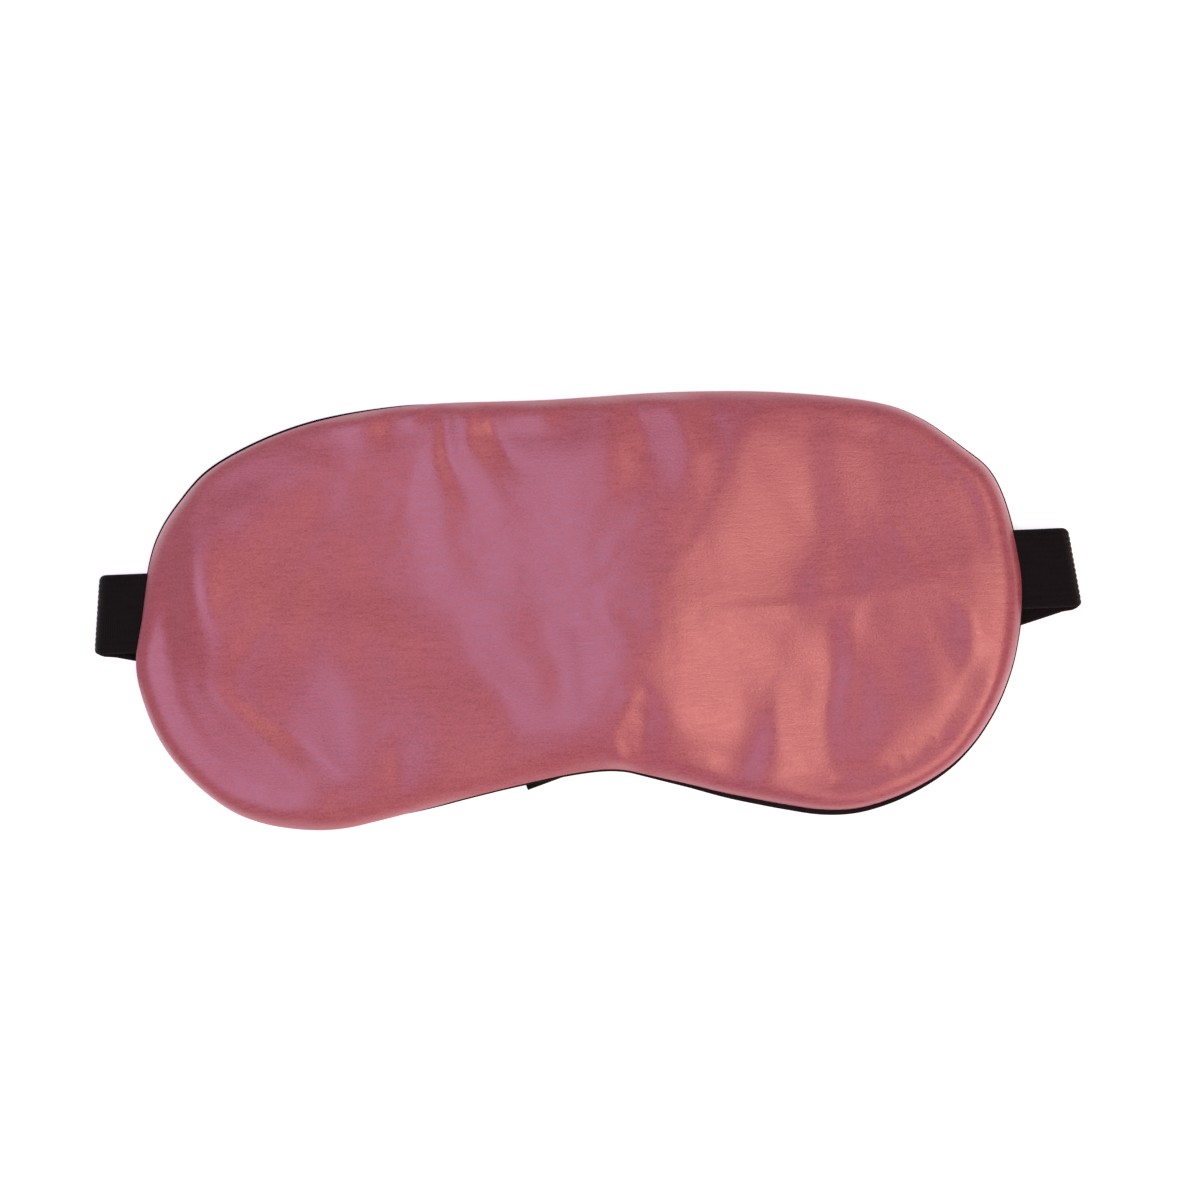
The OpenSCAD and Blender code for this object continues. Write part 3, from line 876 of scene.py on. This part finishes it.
def strap(name, points, halves, rib, start_length=0.0):
    """A ribbed elastic band along points. rib is the height of its ribs."""
    path, half, length = resample(points, halves, 1.6)
    way = unit(np.gradient(path, axis=0))
    up = unit(np.cross(way, half))
    n = RIBS * RIB_FACETS
    t = np.linspace(-1, 1, n + 1)
    cords = np.abs(np.sin(math.pi * RIBS * (t + 1) / 2)) ** 0.7
    body = STRAP_T / 2 * (1 - 0.3 * np.abs(t) ** 14)
    surface = body - rib * (1 - cords)
    wander = 0.09 * ripple(np.column_stack([length + start_length * 3, length * 0]), 30, 5)
    rows, uv = [], []
    for side in (1, -1):
        for j in (range(n + 1) if side > 0 else range(n, -1, -1)):
            rows.append(path + half * t[j] * (1 + wander[:, None] / STRAP_W) + up * side * surface[j])
            uv.append(np.column_stack([length + start_length, np.full(len(path), t[j] * STRAP_W / 2)]) * MM)
    rows, uv = np.array(rows), np.array(uv)
    around, stations = len(rows), len(path)
    verts = rows.transpose(1, 0, 2).reshape(-1, 3)
    uv = uv.transpose(1, 0, 2).reshape(-1, 2)
    faces = []
    for i in range(stations - 1):
        for j in range(around):
            k = (j + 1) % around
            faces.append((i * around + j, i * around + k, (i + 1) * around + k, (i + 1) * around + j))
    faces.append(tuple(range(around)))
    faces.append(tuple((stations - 1) * around + j for j in range(around - 1, -1, -1)))
    obj = new_object(name, verts, faces, elastic)
    obj.data.polygons[-1].use_smooth = obj.data.polygons[-2].use_smooth = False
    set_uv(obj, uv)
    bm = bmesh.new()
    bm.from_mesh(obj.data)
    bmesh.ops.recalc_face_normals(bm, faces=bm.faces)
    bm.to_mesh(obj.data)
    bm.free()
    return obj


def weave_z(w):
    """The right strap's height in its wave over the slider's middle bar, w from the bar."""
    return float(lerp(STRAP_Z, LOOP_HIGH, smooth(1 - (abs(w) - 1.5) / 2.4)))


def mm_point(p):
    return tuple(float(v) * MM for v in p)


def hang(name, node, sewn, halves, on_run, half, rib):
    """A strap's sewn tab, which stays on the mask, and the run after its crease."""
    tab = strap(name + "_tab", sewn + [on_run(FREE_FROM, STRAP_Z)], halves + [half], rib)
    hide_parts(node)
    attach(tab, "mask")
    run = strap(name + "_run", [on_run(u, STRAP_Z) for u in (FREE_FROM, SPLIT_U)], [half] * 2, rib, 28)
    mm_point(on_run(FREE_FROM, 0))
    mm_point(on_run(SPLIT_U, 0))
    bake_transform(run)


# Right strap: sewn end to behind the mask, then through the slider, then its free tail
right_root = root(1, RIGHT_RIM, right_crease, RIGHT_SLOPE / 2)
hang("right_strap", "right_strap_anchor", *right_root, on_right, right_half, RIGHT_RIB)

WEAVE_REACH = 3.9
half_weave = [(BARS[1] + w, weave_z(w)) for w in np.linspace(-WEAVE_REACH, 0, 14)]
points = [on_right(SPLIT_U, STRAP_Z)] + [on_right(SLIDER_AT + u, z) for u, z in half_weave]
right_mid = strap("right_strap_middle", points, [right_half] * len(points), RIGHT_RIB, 40)
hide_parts("right_strap")
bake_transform(right_mid)

half_weave = [(BARS[1] + w, weave_z(w)) for w in np.linspace(0, WEAVE_REACH, 14)]
points = [on_right(SLIDER_AT + u, z) for u, z in half_weave]
points += [on_right(u, STRAP_Z) for u in (90, 110, RIGHT_RUN - 16, RIGHT_RUN)]
halves = [right_half] * (len(points) - 1) + [right_half * TAIL_SPREAD]
right_tail = strap("right_strap_tail", points, halves, RIGHT_RIB, 80)
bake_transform(right_tail)

# Left strap: sewn end to behind the mask, then along, round its elbow and sewn round the slider's last bar
left_root = root(-1, LEFT_RIM, left_crease, 180 - LEFT_SLOPE / 2)
hang("left_strap", "left_strap_anchor", *left_root, on_left, left_half, LEFT_RIB)

points = [on_left(u, z) for u, z in ((SPLIT_U, STRAP_Z), (84, STRAP_Z), (90, 0.7), (95, 1.2), (100, ELBOW_Z))]
halves = [left_half] * len(points)
for k in range(9):
    a = lerp(-LEFT_SLOPE, RIGHT_SLOPE, k / 8)
    points.append([*(elbow_mid + heading(a - 90) * ELBOW_R), lerp(ELBOW_Z, LOOP_LOW, k / 8)])
    halves.append(np.array([*heading(90 + a), 0]) * STRAP_W / 2)
turn_u = SLIDER_AT + BARS[2] - 0.7
turn_r = (LOOP_HIGH - LOOP_LOW) / 2
loop = [on_right(turn_u + u, LOOP_LOW) for u in (11, 5, 0)]
loop += [
    on_right(turn_u - turn_r * math.sin(math.pi * k / 12), SLIDER_Z - turn_r * math.cos(math.pi * k / 12))
    for k in range(1, 12)
]
BACK_PLY = ((0, 4.4), (2.2, 4.4), (4.0, 3.7), (6.0, 2.8), (14.1, 2.64))
loop += [on_right(turn_u + u, z) for u, z in BACK_PLY]
points += loop
halves += [right_half] * len(loop)
left_long = strap("left_strap_long", points, halves, LEFT_RIB, 40)
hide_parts("left_strap", "left_strap_loop")
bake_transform(left_long)


# ---------------------------------------------------------------- slider

def rounded(u0, u1, half, r, steps=6):
    """A closed outline with rounded corners, along and across the strap."""
    mids = ((u1 - r, half - r), (u0 + r, half - r), (u0 + r, r - half), (u1 - r, r - half))
    outline = []
    for quarter, (u, v) in enumerate(mids):
        for k in range(steps + 1):
            a = math.radians(90 * quarter + 90 * k / steps)
            outline.append((u + r * math.cos(a), v + r * math.sin(a)))
    return outline


def plate(name, outer, holes, low, high, place):
    """A flat plate with holes. Its outlines are in its own plane, and place puts a point in the frame."""
    loops = [outer] + holes
    flat, edges = [], []
    for points in loops:
        start = len(flat)
        flat += points
        edges += [(start + i, start + (i + 1) % len(points)) for i in range(len(points))]
    made = geometry.delaunay_2d_cdt([Vector(p) for p in flat], edges, [], 0, 1e-6)

    def inside(p, loop):
        crossings = 0
        for i, (x0, y0) in enumerate(loop):
            x1, y1 = loop[(i + 1) % len(loop)]
            if (y0 > p[1]) != (y1 > p[1]) and p[0] < x0 + (p[1] - y0) / (y1 - y0) * (x1 - x0):
                crossings += 1
        return crossings % 2 == 1

    found = [tuple(v) for v in made[0]]
    tris = []
    for f in made[2]:
        mid = np.mean([found[v] for v in f], axis=0)
        if inside(mid, outer) and not any(inside(mid, hole) for hole in holes):
            tris.append(tuple(f))
    n = len(found)
    sided = {(f[k], f[(k + 1) % 3]) for f in tris for k in range(3)}
    border = [e for e in sided if (e[1], e[0]) not in sided]
    verts = [place(p, high) for p in found] + [place(p, low) for p in found]
    faces = tris + [(f[2] + n, f[1] + n, f[0] + n) for f in tris]
    faces += [(e[1], e[0], e[0] + n, e[1] + n) for e in border]
    obj = new_object(name, verts, faces, slider_plastic)
    bm = bmesh.new()
    bm.from_mesh(obj.data)
    bmesh.ops.recalc_face_normals(bm, faces=bm.faces)
    bmesh.ops.dissolve_limit(bm, angle_limit=0.02, verts=bm.verts, edges=bm.edges)
    bm.to_mesh(obj.data)
    bm.free()
    bevel = obj.modifiers.new("bevel", "BEVEL")
    bevel.width = 0.28 * MM
    bevel.segments = 3
    bevel.limit_method = "ANGLE"
    bevel.angle_limit = math.radians(50)
    return apply_modifiers(obj)


def on_slider(p, z):
    return on_right(SLIDER_AT, z)[:2] + right_way * p[0] + heading(90 + RIGHT_SLOPE) * p[1]


slots = [
    rounded(BARS[0] + BAR_HALF, BARS[1] - BAR_HALF, STRAP_W / 2 + 0.4, 0.4, 3),
    rounded(BARS[1] + BAR_HALF, BARS[2] - BAR_HALF, STRAP_W / 2 + 0.4, 0.4, 3),
]
slider = plate(
    "slider_buckle", rounded(BARS[0] - BAR_HALF, BARS[2] + BAR_HALF, SLIDER_W / 2, 2.0), slots,
    SLIDER_Z - SLIDER_T / 2, SLIDER_Z + SLIDER_T / 2,
    lambda p, z: [*on_slider(p, z), z],
)
slider.data.polygons.foreach_set("use_smooth", [False] * len(slider.data.polygons))
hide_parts("slider")
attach(slider, "slider")


# ---------------------------------------------------------------- threads

def tube(points, radius, sides=8):
    """Verts and faces of a round thread along points, with tapered ends."""
    path = np.array(points, float)
    way = unit(np.gradient(path, axis=0))
    side = unit(np.cross(way, np.array([0.13, 0.21, 0.97])))
    up = np.cross(side, way)
    verts, faces = [], []
    last = len(path) - 1
    for i, p in enumerate(path):
        r = radius * (0.45 if i in (0, last) else 1.0)
        for k in range(sides):
            a = 2 * math.pi * k / sides
            verts.append(p + side[i] * r * math.cos(a) + up[i] * r * math.sin(a))
    for i in range(last):
        for k in range(sides):
            m = (k + 1) % sides
            faces.append((i * sides + k, (i + 1) * sides + k, (i + 1) * sides + m, i * sides + m))
    faces.append(tuple(range(sides)))
    faces.append(tuple(last * sides + k for k in range(sides - 1, -1, -1)))
    return verts, faces


def threads(name, lines, radius, material, node, slot, body, sides=8):
    """All the stitches of one seam, as one piece."""
    verts, faces = [], []
    for line in lines:
        v, f = tube(line, radius, sides)
        faces += [tuple(i + len(verts) for i in face) for face in f]
        verts += v
    obj = new_object(name, verts, faces, material)
    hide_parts(node)
    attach(obj, body)
    return obj


def arch(a, b, rise, steps=6):
    """A stitch from a to b that stands up by rise in its middle."""
    a, b = np.array(a, float), np.array(b, float)
    ups = [rise * math.sin(math.pi * k / steps) for k in range(steps + 1)]
    return [lerp(a, b, k / steps) + np.array([0, 0, up]) for k, up in enumerate(ups)]


# Running stitches all round the edge seam, hidden in it
SEAM_INSET = 1.1
lines = []
for i in range(0, rim_count, 2):
    j = (i + 1) % rim_count
    k = (i + 2) % rim_count
    ends = [[*(rim[m] + rim_inward[m] * SEAM_INSET), rim_seam[m]] for m in (i, j, k)]
    a, c = np.array(ends[0]), np.array(ends[2])
    lines.append(arch(lerp(a, c, 0.12), lerp(a, c, 0.88), 0.12 if i % 4 else -0.12))
threads("edge_stitches", lines, 0.16, black_thread, "edge_seam", "black_thread", "mask", 6)

# Ladder stitches that close the forehead edge
CLOSING = (-29.0, 33.0)
lines = []
top = [i for i in range(rim_count) if rim[i, 1] > 30 and CLOSING[0] < rim[i, 0] < CLOSING[1]]
for i in sorted(top, key=lambda i: rim[i, 0])[::2]:
    edge = rim[i] + rim_inward[i] * 0.2
    slant = rim_along[i] * 0.35
    low, high = rim_seam[i] - 0.35, rim_seam[i] + 0.6
    middle = rim[i] + rim_inward[i] * 0.1
    inwards = rim_inward[i] * 0.5
    lines.append([
        [*(edge - slant + inwards), low],
        [*(middle - slant), low + 0.2],
        [*middle, rim_seam[i] + 0.2],
        [*(middle + slant), high - 0.2],
        [*(edge + slant + inwards), high],
    ])
threads("closing_ladder", lines, 0.14, pink_thread, "closing_stitches", "pink_thread", "mask")


STITCH_SHARES = (0.06, 0.12, 0.3, 0.7, 0.88, 0.94)


def stitch_rows(rows, n, place, z_low, z_high):
    """Rows of stitches across a strap: each goes along the strap's width, and dips into it at its ends."""
    heights = (z_low, z_high - 0.08, z_high, z_high, z_high - 0.08, z_low)
    pitch = (STRAP_W - 3) / n
    lines = []
    for u in rows:
        for k in range(n):
            start = k * pitch - (STRAP_W - 3) / 2
            lines.append([place(u, start + pitch * share, z) for share, z in zip(STITCH_SHARES, heights)])
    return lines


def beside_slider(u, v, z):
    return [*(on_right(SLIDER_AT + u, 0)[:2] + heading(90 + RIGHT_SLOPE) * v), z]


def before_cut_end(u, v, z):
    return beside_slider(RIGHT_RUN - SLIDER_AT - u, v, z)


def inside_side_seam(side, rim_place, y):
    """How stitches are placed where a strap is sewn in, u inwards from the seam and v along it."""
    return lambda u, v, z: [rim_place[0] - side * (u + 3.2) + rim_place[1] * v, y + v, z]


loop_top = LOOP_LOW + 1.5 * STRAP_T + 0.04
threads(
    "loop_tack_stitches", stitch_rows([14.0, 15.5, 17.0], 7, beside_slider, loop_top - 0.3, loop_top + 0.08),
    0.2, black_thread, "loop_tack", "black_thread", "slider",
)
threads(
    "tail_end_stitches", stitch_rows([3.5, 5.5], 7, before_cut_end, STRAP_T - 0.3, STRAP_T + 0.08),
    0.2, black_thread, "tail_stitches", "black_thread", "strap",
)
lines = []
for side, rim_place, y in ((-1, LEFT_RIM, left_crease[1]), (1, RIGHT_RIM, right_crease[1])):
    lines += stitch_rows([0.0, 1.0], 7, inside_side_seam(side, rim_place, y), 5.1, 5.75)
threads("anchor_tack_stitches", lines, 0.2, black_thread, "anchor_tacks", "black_thread", "mask")


# ---------------------------------------------------------------- floor and light

FLOOR_HALF, FLOOR_Z = 2000.0, -0.15
FLOOR_GLOW = 0.66
SKY_LIGHT = 0.26
LIGHT_SIZE = (1.0, 1.6)


def floor_material():
    m = Nodes("floor")
    m.set(Base_Color=(0.9, 0.9, 0.9, 1), Roughness=0.9)
    m.set(Emission_Color=(1, 1, 1, 1), Emission_Strength=FLOOR_GLOW)
    return m.material


floor_corners = [(x * FLOOR_HALF, y * FLOOR_HALF, FLOOR_Z) for x, y in ((-1, -1), (1, -1), (1, 1), (-1, 1))]
floor = new_object("floor", floor_corners, [(0, 1, 2, 3)], floor_material(), False)


def area_light(name, place, power, colour):
    """A large soft light that points at the middle of the table."""
    data = bpy.data.lights.new(name, "AREA")
    data.shape = "RECTANGLE"
    data.size, data.size_y = LIGHT_SIZE
    data.energy = power
    data.color = colour
    obj = bpy.data.objects.new(name, data)
    bpy.context.scene.collection.objects.link(obj)
    obj.location = place
    obj.rotation_euler = (-Vector(place)).to_track_quat("-Z", "Y").to_euler()


area_light("cool_left", (-1.05, 0.15, 2.8), 26.0, (0.76, 0.56, 1.0))
area_light("warm_right", (1.2, -0.8, 2.7), 56.0, (1.0, 0.45, 0.34))

world = bpy.data.worlds.new("studio")
bpy.context.scene.world = world
world.use_nodes = True
world.node_tree.nodes["Background"].inputs["Color"].default_value = (1, 1, 1, 1)
world.node_tree.nodes["Background"].inputs["Strength"].default_value = SKY_LIGHT
bpy.context.scene.view_settings.view_transform = "Standard"
